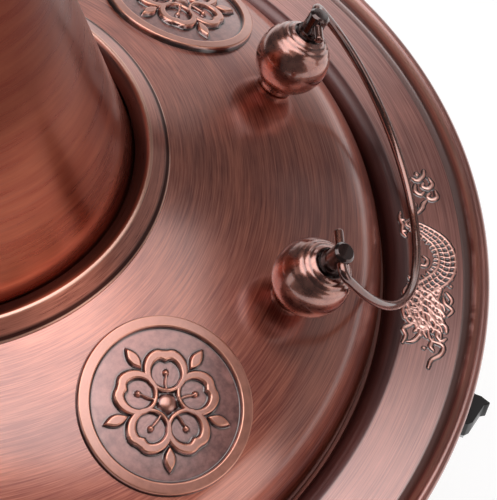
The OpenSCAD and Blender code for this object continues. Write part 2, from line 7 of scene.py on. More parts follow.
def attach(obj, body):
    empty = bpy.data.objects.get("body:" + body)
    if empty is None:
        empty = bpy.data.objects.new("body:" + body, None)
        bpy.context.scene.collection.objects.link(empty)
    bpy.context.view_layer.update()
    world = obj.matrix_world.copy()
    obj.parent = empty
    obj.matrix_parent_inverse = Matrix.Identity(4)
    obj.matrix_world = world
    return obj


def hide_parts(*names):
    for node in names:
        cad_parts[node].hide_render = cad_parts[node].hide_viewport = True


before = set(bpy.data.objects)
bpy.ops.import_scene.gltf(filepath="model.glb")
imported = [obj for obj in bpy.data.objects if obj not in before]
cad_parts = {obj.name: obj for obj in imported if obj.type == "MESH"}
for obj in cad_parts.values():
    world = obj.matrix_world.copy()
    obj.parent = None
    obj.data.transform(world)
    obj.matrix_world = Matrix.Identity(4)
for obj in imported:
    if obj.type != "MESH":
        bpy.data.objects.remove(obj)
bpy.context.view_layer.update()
MM = 0.001

# --- Foot ring and floor ---------------------------------------------------------------------------------
# A flat ring of thick copper under the flared foot, and the copper plate inside it that catches the ash.
# Both are left dark, with brush lines from the spinning lathe.


def tone(red, green, blue):
    """Linear colour of a paint chip given in 0-255 values."""
    c = np.array([red, green, blue]) / 255
    return (*np.where(c <= 0.04045, c / 12.92, ((c + 0.055) / 1.055) ** 2.4).tolist(), 1.0)


def add(tree, kind, inputs=(), **settings):
    """Adds a node and feeds its sockets, each with a number, a colour or another node's output."""
    node = tree.nodes.new("ShaderNode" + kind)
    for key, value in settings.items():
        setattr(node, key, value)
    for key, value in dict(inputs).items():
        if isinstance(value, bpy.types.NodeSocket):
            tree.links.new(value, node.inputs[key])
        else:
            node.inputs[key].default_value = value
    return node


def calc(tree, operation, a, b=0.0):
    return add(tree, "Math", {0: a, 1: b}, operation=operation).outputs[0]


def spread(tree, value, low, high, to_low=0.0, to_high=1.0):
    """Value from low to high, stretched to run from to_low to to_high and held there outside."""
    return add(tree, "MapRange", {0: value, 1: low, 2: high, 3: to_low, 4: to_high}).outputs[0]


def mixed(tree, share, first, second):
    return add(tree, "Mix", {0: share, 6: first, 7: second}, data_type="RGBA").outputs[2]


def streaks(tree, along, across, detail=4.0):
    """Noise drawn out in the direction of turning. Attribute turned is (cos, sin, run), with the run in
    metres along the profile."""
    turned = add(tree, "Attribute", attribute_name="turned").outputs["Vector"]
    drawn = add(tree, "VectorMath", {0: turned, 1: (along, along, across)}, operation="MULTIPLY").outputs[0]
    return add(tree, "TexNoise", {"Vector": drawn, "Scale": 1.0, "Detail": detail,
                                  "Roughness": 0.62}).outputs[0]


def copper(name, low, high, lines=(5.5, 2400.0), rough=(0.32, 0.46), bump=0.3, aniso=0.0, worn=None,
           dirt=None, patches=28.0, zones=(), scratch=None, lacquer=(2.1, 0.18), painted_dark_top=None):
    """Antique copper under lacquer. Brush lines and broad patches of patina mix the tones low and high.
    Attribute wear brings out worn on outer edges and dirt in corners. Lacquer is the clear coat's index and
    roughness: it reflects white, while the metal below stays red. A zone (from run, to run, tone, share)
    tints a band of the turned profile, and the lacquer is thin where the share is high; some zones paint
    shade.
    The dark top (from height, to height, tone) is painted shade: it darkens the metal upwards between the two
    heights and covers the lacquer."""
    mat = bpy.data.materials.new(name)
    mat.use_nodes = True
    tree = mat.node_tree
    shader = tree.nodes["Principled BSDF"]
    fine = streaks(tree, *lines)
    broad = streaks(tree, lines[0] * 0.5, lines[1] * 0.05, 3.0)
    spot = add(tree, "TexCoord").outputs["Object"]
    cloud = add(tree, "TexNoise", {"Vector": spot, "Scale": patches, "Detail": 4.0}).outputs[0]
    share = calc(tree, "ADD", calc(tree, "MULTIPLY", fine, 0.52), calc(tree, "MULTIPLY", broad, 0.20))
    share = calc(tree, "ADD", share, calc(tree, "MULTIPLY", cloud, 0.28))
    colour = mixed(tree, spread(tree, share, 0.40, 0.60), low, high)
    gloss = spread(tree, fine, 0.3, 0.7, *rough)
    at = add(tree, "Attribute", attribute_name="turned").outputs["Vector"]
    run = add(tree, "SeparateXYZ", {0: at}).outputs[2]
    coat = 1.0
    for start, end, tint, amount in zones:
        inside = calc(tree, "MULTIPLY", spread(tree, run, start - 0.0004, start + 0.0004, 0.0, amount),
                      spread(tree, run, end - 0.0004, end + 0.0004, 1.0, 0.0))
        colour = mixed(tree, inside, colour, tint)
        coat = calc(tree, "SUBTRACT", coat, calc(tree, "MULTIPLY", calc(tree, "POWER", inside, 4.0), 0.95))
    if scratch:
        for angle, turn_on in ((0.42, 0.3), (-0.5, 1.7), (0.1, 2.6)):
            slanted = add(tree, "Mapping", {"Vector": spot, "Rotation": (angle, angle * 0.7, turn_on),
                                            "Scale": (26.0, 26.0, 1500.0)}).outputs[0]
            line = add(tree, "TexNoise", {"Vector": slanted, "Scale": 1.0, "Detail": 2.0}).outputs[0]
            colour = mixed(tree, spread(tree, line, 0.60, 0.72, 0.0, 0.55), colour, scratch)
    # Painted shade: the metal darkens upwards and loses its lacquer, standing in for a dark reflection.
    if painted_dark_top:
        height_at = add(tree, "SeparateXYZ", {0: spot}).outputs[2]
        dark_top_height = calc(tree, "ADD", height_at, calc(tree, "MULTIPLY", calc(tree, "SUBTRACT", cloud, 0.5), 0.09))
        dark_top_share = spread(tree, dark_top_height, painted_dark_top[0], painted_dark_top[1], 0.0, 0.8)
        colour = mixed(tree, dark_top_share, colour, painted_dark_top[2])
        coat = calc(tree, "MULTIPLY", coat, calc(tree, "SUBTRACT", 1.0, dark_top_share))
    wear = add(tree, "Attribute", attribute_name="wear").outputs["Fac"]
    if worn:
        colour = mixed(tree, spread(tree, wear, 0.1, 0.9), colour, worn)
    if dirt:
        colour = mixed(tree, spread(tree, wear, -0.1, -0.9), colour, dirt)
    height = add(tree, "Bump", {"Strength": bump, "Distance": 0.00006, "Height": fine}).outputs[0]
    for key, value in {"Base Color": colour, "Roughness": gloss, "Normal": height}.items():
        tree.links.new(value, shader.inputs[key])
    shader.inputs["Metallic"].default_value = 1.0
    if zones or painted_dark_top:
        tree.links.new(coat, shader.inputs["Coat Weight"])
    else:
        shader.inputs["Coat Weight"].default_value = 1.0
    shader.inputs["Coat IOR"].default_value, shader.inputs["Coat Roughness"].default_value = lacquer
    if aniso:
        shader.inputs["Anisotropic"].default_value = aniso
        shader.inputs["Anisotropic Rotation"].default_value = 0.25
        tree.links.new(add(tree, "Tangent", direction_type="RADIAL", axis="Z").outputs[0],
                       shader.inputs["Tangent"])
    return mat


def arc(r, z, radius, start, end, steps):
    """Corners along an arc about (r, z), in millimetres and degrees."""
    a = np.radians(np.linspace(start, end, steps + 1))
    return [(x, y, 0.0) for x, y in zip((r + radius * np.cos(a)).tolist(), (z + radius * np.sin(a)).tolist())]


def rounded(corners, steps=5):
    """Outline through corners (r, z, radius), each made an arc tangent to both its sides. Long straight runs
    get points near their ends, so they shade flat. Returns rows (r, z, wear): wear is 1 on an outer arc and
    -1 in an inner one."""
    rows = []
    points = np.array([c[:2] for c in corners], float)
    for i, (_, _, radius) in enumerate(corners):
        here, back, on = points[i], points[i - 1], points[(i + 1) % len(points)]
        a, b = back - here, on - here
        long_a, long_b = np.linalg.norm(a), np.linalg.norm(b)
        a, b = a / long_a, b / long_b
        half = np.arccos(np.clip(a @ b, -1, 1)) / 2
        if radius <= 0 or half > 1.55:
            rows.append([*here, 0.0])
            continue
        reach = min(radius / np.tan(half), 0.48 * min(long_a, long_b))
        middle = here + (a + b) / np.linalg.norm(a + b) * reach / np.cos(half)
        first, last = here + a * reach - middle, here + b * reach - middle
        t, swing = np.linspace(0, 1, steps + 1)[:, None], np.pi - 2 * half
        bow = middle + (np.sin((1 - t) * swing) * first + np.sin(t * swing) * last) / np.sin(swing)
        side = float(np.sign(a[1] * b[0] - a[0] * b[1]))
        rows += [[*p, side] for p in bow]
    out = []
    for here, on in zip(rows, rows[1:] + rows[:1]):
        out.append(here)
        gap = np.hypot(on[0] - here[0], on[1] - here[1])
        if gap > 5:
            for t in (0.35 / gap, *np.linspace(0, 1, int(gap / 6) + 2)[1:-1], 1 - 0.35 / gap):
                out.append([here[0] + (on[0] - here[0]) * t, here[1] + (on[1] - here[1]) * t, 0.0])
    return out


def grid_mesh(name, points, turned, wear, closed_u=True):
    """Mesh of a grid of points[u, v] that closes along v, with the attributes turned and wear, its doubled
    points merged."""
    nu, nv = points.shape[:2]
    u, v = np.meshgrid(np.arange(nu if closed_u else nu - 1), np.arange(nv), indexing="ij")
    u1, v1 = (u + 1) % nu, (v + 1) % nv
    quads = np.stack([u * nv + v, u * nv + v1, u1 * nv + v1, u1 * nv + v], -1).reshape(-1, 4)
    mesh = bpy.data.meshes.new(name)
    mesh.from_pydata(points.reshape(-1, 3).tolist(), [], quads.tolist())
    mesh.attributes.new("turned", "FLOAT_VECTOR", "POINT").data.foreach_set(
        "vector", np.broadcast_to(turned, points.shape).astype(np.float32).ravel())
    mesh.attributes.new("wear", "FLOAT", "POINT").data.foreach_set(
        "value", np.broadcast_to(wear, points.shape[:2]).astype(np.float32).ravel())
    bm = bmesh.new()
    bm.from_mesh(mesh)
    bmesh.ops.remove_doubles(bm, verts=bm.verts, dist=1e-7)
    bm.to_mesh(mesh)
    bm.free()
    return mesh


def run_at(rows, r, z):
    """Run along a turned profile, in metres, at its point nearest to (r, z) in millimetres."""
    p = np.array(rows, float)[:, :2]
    run = np.concatenate([[0.0], np.cumsum(np.linalg.norm(np.diff(p, axis=0), axis=1))])
    return float(run[np.argmin(np.hypot(p[:, 0] - r, p[:, 1] - z))]) * MM


def turn(name, rows, segments=256, stand=Matrix.Identity(4)):
    """Surface of revolution: row i at angle j is (r cos, r sin, z), carried to its place by the matrix
    stand."""
    r, z, wear = np.array(rows, float).T
    angle = np.arange(segments) * 2 * np.pi / segments
    run = np.concatenate([[0.0], np.cumsum(np.hypot(np.diff(r), np.diff(z)))])
    cos, sin, one = np.cos(angle), np.sin(angle), np.ones(segments)
    local = np.stack([np.outer(r, cos), np.outer(r, sin), np.outer(z, one)], -1) * MM
    points = local @ np.array(stand.to_3x3()).T + np.array(stand.translation)
    turned = np.stack([np.outer(np.ones(len(r)), cos), np.outer(np.ones(len(r)), sin),
                       np.outer(run * MM, one)], -1)
    on_axis = abs(r[0]) < 1e-9 and abs(r[-1]) < 1e-9
    return grid_mesh(name, points, turned, wear[:, None], closed_u=not on_axis)


def put(name, mesh, material, body, slot, *nodes):
    """Makes the mesh a smooth piece that rides on a body and stands for CAD nodes."""
    mesh.materials.clear()
    mesh.materials.append(material)
    mesh.polygons.foreach_set("use_smooth", np.ones(len(mesh.polygons), bool))
    item = bpy.data.objects.new(name, mesh)
    bpy.context.scene.collection.objects.link(item)
    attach(item, body)
    nodes = [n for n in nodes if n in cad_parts]
    if nodes:
        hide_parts(*nodes)
    return item


def eased(name, node, material, body, slot, edge=0.3):
    """A copy of a CAD node, its loose triangles joined and its sharp edges eased by a small bevel. Attribute
    turned is worked out from the pot's axis, with the run taken as radius plus 0.7 of the height."""
    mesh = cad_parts[node].data.copy()
    bm = bmesh.new()
    bm.from_mesh(mesh)
    bmesh.ops.remove_doubles(bm, verts=bm.verts, dist=2e-6)
    bmesh.ops.dissolve_limit(bm, angle_limit=0.01, verts=bm.verts, edges=bm.edges)
    bm.to_mesh(mesh)
    bm.free()
    at = np.empty(len(mesh.vertices) * 3)
    mesh.vertices.foreach_get("co", at)
    at = at.reshape(-1, 3)
    radius = np.maximum(np.hypot(at[:, 0], at[:, 1]), 1e-6)
    turned = np.stack([at[:, 0] / radius, at[:, 1] / radius, radius + 0.7 * at[:, 2]], -1)
    mesh.attributes.new("turned", "FLOAT_VECTOR", "POINT").data.foreach_set(
        "vector", turned.astype(np.float32).ravel())
    item = put(name, mesh, material, body, slot, node)
    mesh.set_sharp_from_angle(angle=0.6)
    bevel = item.modifiers.new("eased edges", "BEVEL")
    bevel.width, bevel.segments, bevel.angle_limit, bevel.harden_normals = edge * MM, 2, 0.6, True
    return item


dark_metal = copper("dark_copper", tone(96, 62, 54), tone(132, 88, 76), rough=(0.34, 0.5),
                    worn=tone(170, 118, 100))
FOOT_IN, FOOT_OUT, FOOT_THICK = 109.98, 115.98, 5
put("foot_ring_turned", turn("foot_ring_turned", rounded([
    (FOOT_IN, 0, 0.5), (FOOT_OUT, 0, 1.0), (FOOT_OUT, FOOT_THICK, 0.4), (FOOT_IN, FOOT_THICK, 0.4)])),
    dark_metal, "root", "dark_copper", "foot_ring")
eased("ash_plate", "stove_floor", dark_metal, "root", "dark_copper", 0.2)

# --- Stove drum ------------------------------------------------------------------------------------------
# The spun copper drum that holds the fire off the table: flared foot, straight wall with a ring of air holes
# and the opening of the ash door, and a flange that the basin is soldered on.
wall_metal = copper("brushed_copper_wall", tone(150, 84, 74), tone(190, 116, 102), aniso=0.6,
                    worn=tone(214, 164, 146), dirt=tone(84, 48, 42))
eased("stove_drum_spun", "stove_drum", wall_metal, "root", "brushed_copper", 0.35)

# --- Grate -----------------------------------------------------------------------------------------------
# A cast iron grate under the fire, dull and rough from its sand mould, on a plain steel ring inside the drum.
cast_iron = bpy.data.materials.new("cast_iron")
cast_iron.use_nodes = True
iron = cast_iron.node_tree
sand = add(iron, "TexNoise", {"Vector": add(iron, "TexCoord").outputs["Object"], "Scale": 700.0,
                              "Detail": 6.0}).outputs[0]
iron_shader = iron.nodes["Principled BSDF"]
iron_shader.inputs["Metallic"].default_value = 0.6
for socket, value in {
        "Base Color": mixed(iron, sand, tone(48, 46, 44), tone(92, 86, 80)),
        "Roughness": spread(iron, sand, 0.3, 0.7, 0.5, 0.75),
        "Normal": add(iron, "Bump", {"Strength": 0.6, "Distance": 0.0003,
                                     "Height": sand}).outputs[0]}.items():
    iron.links.new(value, iron_shader.inputs[socket])
satin_steel = copper("satin_steel", tone(150, 152, 154), tone(198, 199, 200), rough=(0.3, 0.42), bump=0.15,
                     lacquer=(1.3, 0.3))
eased("fire_grate", "grate", cast_iron, "root", "cast_iron", 0.5)
eased("grate_ring", "grate_shelf", satin_steel, "root", "steel", 0.15)

# --- Fire pot and chimney --------------------------------------------------------------------------------
# One long copper cone in two lengths: the fire pot inside the basin, and the chimney brazed on it, which ends
# in a rolled mouth. Its wall is brushed crosswise by hand, so it shows fine slanting scratches over red
# brown, and it is painted darker upwards: painted shade standing in for the dark reflection on its upper
# part.
TAPER = np.tan(np.radians(16.0))
MOUTH_R, MOUTH_Z, WALL, SEAM_Z, FOOT_Z = 29.788, 290.0, 1.664, 160.0, 73.8


def cone_r(z):
    return MOUTH_R + (MOUTH_Z - z) * TAPER


# Its dark top is painted shade standing in for a dark reflection.
chimney_metal = copper("chimney_copper", tone(178, 82, 60), tone(224, 126, 92), lines=(1.2, 260.0),
                       rough=(0.24, 0.34), bump=0.12, patches=14.0, worn=tone(220, 170, 150),
                       dirt=tone(70, 40, 36), scratch=tone(196, 112, 88), lacquer=(1.3, 0.2),
                       painted_dark_top=(0.17, 0.245, tone(62, 20, 16)))
put("fire_pot_turned", turn("fire_pot_turned", rounded([
    (cone_r(FOOT_Z) - WALL, FOOT_Z, 0.2), (cone_r(FOOT_Z) + 9, FOOT_Z, 0.3), (cone_r(FOOT_Z) + 9, 75.4, 0.3),
    (cone_r(75.4), 75.4, 0.3), (cone_r(SEAM_Z), SEAM_Z, 0.15), (cone_r(SEAM_Z) - WALL, SEAM_Z, 0.15)])),
    chimney_metal, "root", "chimney_copper", "fire_pot")
put("chimney_turned", turn("chimney_turned", rounded([
    (cone_r(SEAM_Z) - WALL, SEAM_Z, 0.15), (cone_r(SEAM_Z), SEAM_Z, 0.15),
    (MOUTH_R + 0.35, MOUTH_Z - 1.2, 0.6), *arc(MOUTH_R - WALL / 2, MOUTH_Z, 1.8, -40, 220, 16),
    (MOUTH_R - WALL - 0.25, MOUTH_Z - 1.6, 0.6)])),
    chimney_metal, "root", "chimney_copper", "chimney")

# --- Basin -----------------------------------------------------------------------------------------------
# The soup basin, spun from one sheet: rolled bead, dark channel, wide brushed flange, a smooth rounded mouth
# painted dark brown as painted shade under the lid's edge, the ledge for the lid, painted near black as
# painted shade under the lid, and the deep ring channel round the fire pot.
FLANGE_Z, FILLET_R, FILLET = 137.5, 153.6, 7.0
basin_rows = rounded([
    *arc(177.95, 140, 1.98, -125, 112, 18), (175.7, 140.5, 1.6), (174.1, 138.0, 2.0), (172.2, FLANGE_Z, 2.0),
    *arc(FILLET_R, FLANGE_Z - FILLET, FILLET, 90, 180, 18), (146.6, 129.5, 0.5), (140.6, 129.5, 0.6),
    *arc(102.6, 115, 38, 0, -90, 26), (91.6, 77, 0.2), (91.6, 75.4, 0.2), *arc(102.6, 115, 39.6, -90, 0, 26),
    (142.2, 127.9, 0.8), (148.2, 127.9, 0.8), *arc(FILLET_R, FLANGE_Z - FILLET, 5.4, 180, 90, 14),
    (173.2, 135.9, 0.8), (175.6, 137.6, 0.6)])
mouth_top, mouth_foot = run_at(basin_rows, FILLET_R, FLANGE_Z), run_at(basin_rows, 146.6, 130.5)
basin_metal = copper(
    "brushed_copper_flange", tone(146, 74, 62), tone(204, 124, 108), rough=(0.30, 0.42), aniso=0.8,
    worn=tone(206, 148, 130), dirt=tone(110, 60, 50), lacquer=(2.3, 0.2),
    zones=((run_at(basin_rows, 175.7, 140.3), run_at(basin_rows, 172.0, FLANGE_Z), tone(156, 90, 76), 0.4),
           # Painted shade: the mouth and the ledge under the lid are painted dark, and their lacquer is
           # thinned.
           (mouth_top, mouth_foot, tone(84, 50, 50), 0.9),
           (mouth_foot, run_at(basin_rows, 140.6, 129.0), tone(34, 20, 20), 0.95)))
put("basin_spun", turn("basin_spun", basin_rows, 320), basin_metal, "root", "brushed_copper", "basin")

# --- Dragon on the flange --------------------------------------------------------------------------------
# A dragon and its cloud, struck into the flange in low relief beside each bail: a coiled scaly body, legs,
# mane and whiskers. The ridges are rubbed bright and the ground between them keeps its dark patina.
RELIEF_R = 160.0


def curve(points, count=60):
    """Smooth curve through a few points: uniform Catmull-Rom segments, sampled evenly in their parameter."""
    p = np.array(points, float)
    p = np.vstack([2 * p[0] - p[1], p, 2 * p[-1] - p[-2]])
    s = np.linspace(0, len(p) - 3 - 1e-9, count)
    i, t = s.astype(int), (s % 1)[:, None]
    a, b, c, d = p[i], p[i + 1], p[i + 2], p[i + 3]
    return 0.5 * (2 * b + (c - a) * t + (2 * a - 5 * b + 4 * c - d) * t**2 + (3 * b - a - 3 * c + d) * t**3)


def nearest(x, y, line):
    """For each grid point: its distance from a line of points, the side it is on and how far along it lies.
    The last value is the line's whole length."""
    best, side, along, run = np.full(x.shape, 1e9), np.zeros(x.shape), np.zeros(x.shape), 0.0
    for (ax, ay), (bx, by) in zip(line[:-1], line[1:]):
        dx, dy = bx - ax, by - ay
        length = np.hypot(dx, dy)
        t = np.clip(((x - ax) * dx + (y - ay) * dy) / length**2, 0, 1)
        away = np.hypot(x - ax - t * dx, y - ay - t * dy)
        closer = away < best
        best = np.where(closer, away, best)
        side = np.where(closer, np.sign((x - ax) * dy - (y - ay) * dx), side)
        along = np.where(closer, run + t * length, along)
        run += length
    return best, side, along, run


def ridge(away, half_width):
    """Round-topped ridge: 1 on its line, 0 from half_width on."""
    return np.sqrt(np.clip(1 - (away / half_width) ** 2, 0, 1))


def stroke(x, y, points, half_width, taper=0.35):
    """Raised stroke along a curve, full in the middle and narrowing to taper of its width at both ends."""
    away, _, along, run = nearest(x, y, curve(points, 6 * len(points)))
    width = half_width * (taper + (1 - taper) * np.sin(np.pi * np.clip(along / run, 0.02, 0.98)) ** 0.6)
    return ridge(away, width)


def scaly(x, y, points, half_width, pitch):
    """Scaly body: a ridge down each side, two finer ones between, and cross lines bowed like rows of
    scales."""
    away, side, along, run = nearest(x, y, curve(points, 8 * len(points)))
    width = half_width * (0.45 + 0.55 * np.sin(np.pi * np.clip(along / run, 0.03, 0.97)) ** 0.7)
    across = away * side / width
    rims = np.maximum(ridge(abs(abs(across) - 0.86) * width, 0.42),
                      ridge(abs(abs(across) - 0.3) * width, 0.26) * 0.8)
    rows = ridge(abs((along + 0.9 * np.abs(across)) / pitch % 1 - 0.5) * pitch, 0.30) * 0.85
    spikes = ridge(abs(along / (pitch * 1.3) % 1 - 0.5) * pitch, 0.34) * (across > 0.9) * (across < 1.42)
    return np.maximum(np.maximum(rims, rows) * (np.abs(across) < 1.06), spikes * 0.8)


def struck_dragon(x, y):
    """Height field of the whole figure, 0 to 1: the greatest of its strokes. x runs along the flange, y
    outwards."""
    cloud = [((-24.6, 13.4), (-22.2, 12.4), (-20.6, 10.0), (-22.0, 8.4)),
             ((-21.2, 14.2), (-18.6, 14.8), (-16.9, 13.0), (-18.0, 11.2), (-19.4, 11.9)),
             ((-15.8, 15.2), (-13.2, 15.3), (-12.3, 13.2), (-13.8, 12.0), (-15.0, 13.1)),
             ((-19.0, 8.9), (-16.4, 8.3), (-14.6, 9.8), (-15.6, 11.2)),
             ((-12.2, 11.4), (-10.6, 10.0), (-9.0, 9.3), (-7.0, 7.4)),
             ((-24.0, 10.6), (-22.6, 10.4)), ((-11.0, 7.4), (-9.4, 6.6), (-7.6, 6.4))]
    legs = [((-7.9, 1.7), (-5.2, 1.1), (-2.3, 1.7), (0.6, 1.3), (2.9, 2.4)), ((-4.6, 1.4), (-4.0, 2.6)),
            ((0.2, 1.4), (0.8, 2.7)), ((10.8, 7.6), (12.4, 9.0), (14.6, 8.2), (14.2, 6.2), (12.2, 5.9)),
            ((24.3, 15.1), (26.6, 16.9), (28.4, 16.8)),
            ((26.2, 14.2), (28.6, 15.0), (30.6, 17.4), (33.0, 16.2)),
            ((28.0, 13.0), (31.2, 13.6), (33.4, 15.4)),
            ((23.5, 2.2), (26.0, 1.2), (29.2, 2.7), (33.0, 1.5), (36.9, 2.4)),
            ((25.4, 3.2), (28.0, 1.4)), ((31.0, 3.0), (33.6, 3.9), (36.2, 3.4))]
    mane = [((34.0, 11.2), (37.0, 12.6), (40.2, 12.0)),
            ((33.2, 9.2), (36.6, 10.2), (40.4, 9.2), (42.6, 10.4)),
            ((35.0, 7.4), (38.4, 7.6), (41.2, 6.2)),
            ((34.6, 5.4), (38.2, 5.0), (40.8, 2.6), (43.4, 3.7), (46.6, 3.2)),
            ((38.4, 13.8), (41.0, 13.6), (42.6, 15.2), (41.4, 16.6)),
            ((36.0, 14.4), (37.2, 16.0), (39.2, 16.4)),
            ((39.6, 8.2), (43.0, 7.6), (45.2, 6.0), (45.8, 4.4)),
            ((41.0, 10.8), (43.2, 12.2), (44.2, 16.0), (47.4, 15.8), (50.2, 13.4), (53.4, 13.0)),
            ((42.4, 12.6), (45.4, 12.2), (46.8, 13.4))]
    field = scaly(x, y, ((-2.6, 4.6), (1.5, 10.0), (5.8, 14.0), (11.5, 15.6), (17.1, 14.4), (21.2, 10.8),
                         (24.8, 7.0), (29.6, 5.2), (34.6, 6.4), (38.6, 8.6)), 3.3, 1.9)
    field = np.maximum(field, scaly(x, y, ((23.4, 12.6), (27.4, 11.0), (31.6, 11.4), (35.6, 14.2)),
                                    1.9, 1.6) * 0.9)
    flames = [((at, low), (at + 2.2, low + 1.3), (at + 3.4 + 0.6 * np.sin(at), low + 3.6),
               (at + 5.4, low + 4.4))
              for row, low in enumerate((2.6, 6.6, 10.6))
              for at in np.arange(19.5 + 3.1 * row, 36 + 1.5 * row, 2.7)]
    for group, half_width in ((cloud, 0.72), (legs, 0.55), (mane, 0.62), (flames, 0.46)):
        for points in group:
            field = np.maximum(field, stroke(x, y, points, half_width))
    for cx, cy, r in ((42.0, 8.2, 0.8), (46.6, 10.2, 0.6), (-17.4, 13.0, 0.5), (20.0, 3.4, 0.6),
                      (21.8, 16.6, 0.55)):
        field = np.maximum(field, ridge(np.hypot(x - cx, y - cy), r))
    return field


def blurred(field, rounds):
    """The field smoothed by its four neighbours, a number of times."""
    for _ in range(rounds):
        pad = np.pad(field, 1, mode="edge")
        field = (pad[1:-1, 1:-1] * 2 + pad[2:, 1:-1] + pad[:-2, 1:-1] + pad[1:-1, 2:] + pad[1:-1, :-2]) / 6
    return field


def flange_height(r):
    """Height of the flange's top at a radius, in millimetres: flat, and a quarter round inside its inner
    edge."""
    fall = np.clip(FILLET_R - r, 0, FILLET)
    return FLANGE_Z - FILLET + np.sqrt(FILLET**2 - fall**2)


def closed_slab(top, bottom):
    """Grid that wraps a top sheet and a bottom sheet into one closed solid: down one edge, under, and up the
    other."""
    return np.concatenate([top, bottom[:, ::-1]], axis=1)


relief_metal = copper("relief_copper_dragon", tone(186, 118, 104), tone(224, 160, 146), lines=(30.0, 900.0),
                      rough=(0.26, 0.36), bump=0.2, worn=tone(246, 184, 168), dirt=tone(50, 22, 20))
run_x, run_y = np.meshgrid(np.linspace(-27, 56, 420), np.linspace(0.2, 18.6, 96), indexing="ij")
figure = struck_dragon(run_x, run_y)
ground = np.clip((blurred(figure, 10) - 0.02) * 40, 0, 1)
lift = -0.3 + 0.34 * ground + 0.5 * blurred(figure, 1)
relief_wear = np.clip((figure - 0.56) * 3.4, -1, 1)
for side, start in (("right", 0.0), ("left", np.pi)):
    bearing, reach = start - run_x / RELIEF_R, 151.0 + run_y
    top = np.stack([reach * np.cos(bearing), reach * np.sin(bearing), flange_height(reach) + lift], -1) * MM
    under = top.copy()
    under[..., 2] = (flange_height(reach) - 0.6) * MM
    spin = np.stack([np.cos(bearing), np.sin(bearing), reach * MM], -1)
    sheet = grid_mesh("dragon_" + side, closed_slab(top, under), closed_slab(spin, spin),
                      closed_slab(relief_wear, relief_wear), closed_u=False)
    bm = bmesh.new()
    bm.from_mesh(sheet)
    bmesh.ops.holes_fill(bm, edges=[e for e in bm.edges if e.is_boundary], sides=0)
    bmesh.ops.recalc_face_normals(bm, faces=bm.faces)
    bm.to_mesh(sheet)
    bm.free()
    put("dragon_" + side, sheet, relief_metal, "root", "relief_copper")

# --- Side ears -------------------------------------------------------------------------------------------
# Two black moulded ears under the rim, screwed on steel brackets that are riveted to the basin wall.
black_moulding = bpy.data.materials.new("black_moulding")
black_moulding.use_nodes = True
black = black_moulding.node_tree
grit = add(black, "TexNoise", {"Vector": add(black, "TexCoord").outputs["Object"], "Scale": 900.0,
                               "Detail": 3.0}).outputs[0]
haze = add(black, "TexNoise", {"Vector": add(black, "TexCoord").outputs["Object"], "Scale": 60.0,
                               "Detail": 3.0}).outputs[0]
for socket, value in {
        "Base Color": mixed(black, haze, tone(14, 11, 11), tone(30, 25, 25)),
        "Roughness": spread(black, haze, 0.3, 0.7, 0.3, 0.46),
        "Normal": add(black, "Bump", {"Strength": 0.15, "Distance": 0.0001,
                                      "Height": grit}).outputs[0]}.items():
    black.links.new(value, black.nodes["Principled BSDF"].inputs[socket])
black.nodes["Principled BSDF"].inputs["Specular IOR Level"].default_value = 0.3
for side in ("right", "left"):
    eased("ear_moulded_" + side, "ear_" + side, black_moulding, "root", "black_bakelite", 0.9)
    eased("bracket_" + side, "ear_bracket_" + side, satin_steel, "root", "steel", 0.25)
eased("ear_screws_steel", "ear_screws", satin_steel, "root", "steel", 0.3)
eased("ear_rivets_steel", "ear_rivets", satin_steel, "root", "steel", 0.3)

# --- Ash door --------------------------------------------------------------------------------------------
# A curved copper door over the opening in the drum, on a two-knuckle hinge with a steel pin, opened by a
# small black knob that a screw holds from inside.
eased("door_hinge_leaf", "door_hinge", dark_metal, "root", "dark_copper", 0.25)
eased("door_hinge_rod", "door_hinge_pin", satin_steel, "root", "steel", 0.2)
eased("ash_door_sheet", "ash_door", wall_metal, "door", "brushed_copper", 0.3)
eased("door_knob_turned", "door_knob", black_moulding, "door", "black_bakelite", 0.3)
eased("door_knob_screw_steel", "door_knob_screw", satin_steel, "door", "steel", 0.15)

# --- Lid shell -------------------------------------------------------------------------------------------
# The ring lid: a shallow dome spun from sheet copper, rolled over into a round shoulder that drops into the
# basin's mouth. It is brushed in circles, so light lies on it in wide fans.
DOME_R, DOME_Z, SHOULDER, EDGE_R = 283.005, -95.435, 26.0, 145.0
SHOULDER_R, SHOULDER_Z = 119.0, 132.36
LID_HOLE_R, LID_EDGE_Z, LID_SHEET = 63.86, 129.7, 1.6
tangent = float(np.degrees(np.arccos(SHOULDER_R / (DOME_R - SHOULDER))))
hole = float(np.degrees(np.arccos(LID_HOLE_R / DOME_R)))
lid_metal = copper("brushed_copper_lid", tone(140, 60, 44), tone(206, 118, 92), rough=(0.28, 0.40), aniso=0.8,
                   worn=tone(196, 96, 70), dirt=tone(60, 30, 26), lacquer=(2.2, 0.2))
put("lid_spun", turn("lid_spun", rounded([
    (EDGE_R, LID_EDGE_Z, 0.5), *arc(SHOULDER_R, SHOULDER_Z, SHOULDER, 0, tangent, 24),
    *arc(0, DOME_Z, DOME_R, tangent, hole, 30)[1:], *arc(0, DOME_Z, DOME_R - LID_SHEET, hole, tangent, 20),
    *arc(SHOULDER_R, SHOULDER_Z, SHOULDER - LID_SHEET, tangent, 0, 18)[1:],
    (EDGE_R - LID_SHEET, LID_EDGE_Z, 0.5)]), 320),
    lid_metal, "lid", "brushed_copper", "lid_shell")

# --- Lid skirt -------------------------------------------------------------------------------------------
# A plain ring soldered under the dome. It drops into the basin and keeps the lid in the middle.
SKIRT_IN, SKIRT_OUT, SKIRT_FOOT, SKIRT_TOP = 137.0, 138.4, 117.7, 147.1
put("lid_skirt_ring", turn("lid_skirt_ring", rounded([
    (SKIRT_IN, SKIRT_FOOT, 0.5), (SKIRT_OUT, SKIRT_FOOT, 0.5), (SKIRT_OUT, SKIRT_TOP, 0.2),
    (SKIRT_IN, SKIRT_TOP, 0.2)])),
    dark_metal, "lid", "dark_copper", "lid_skirt")
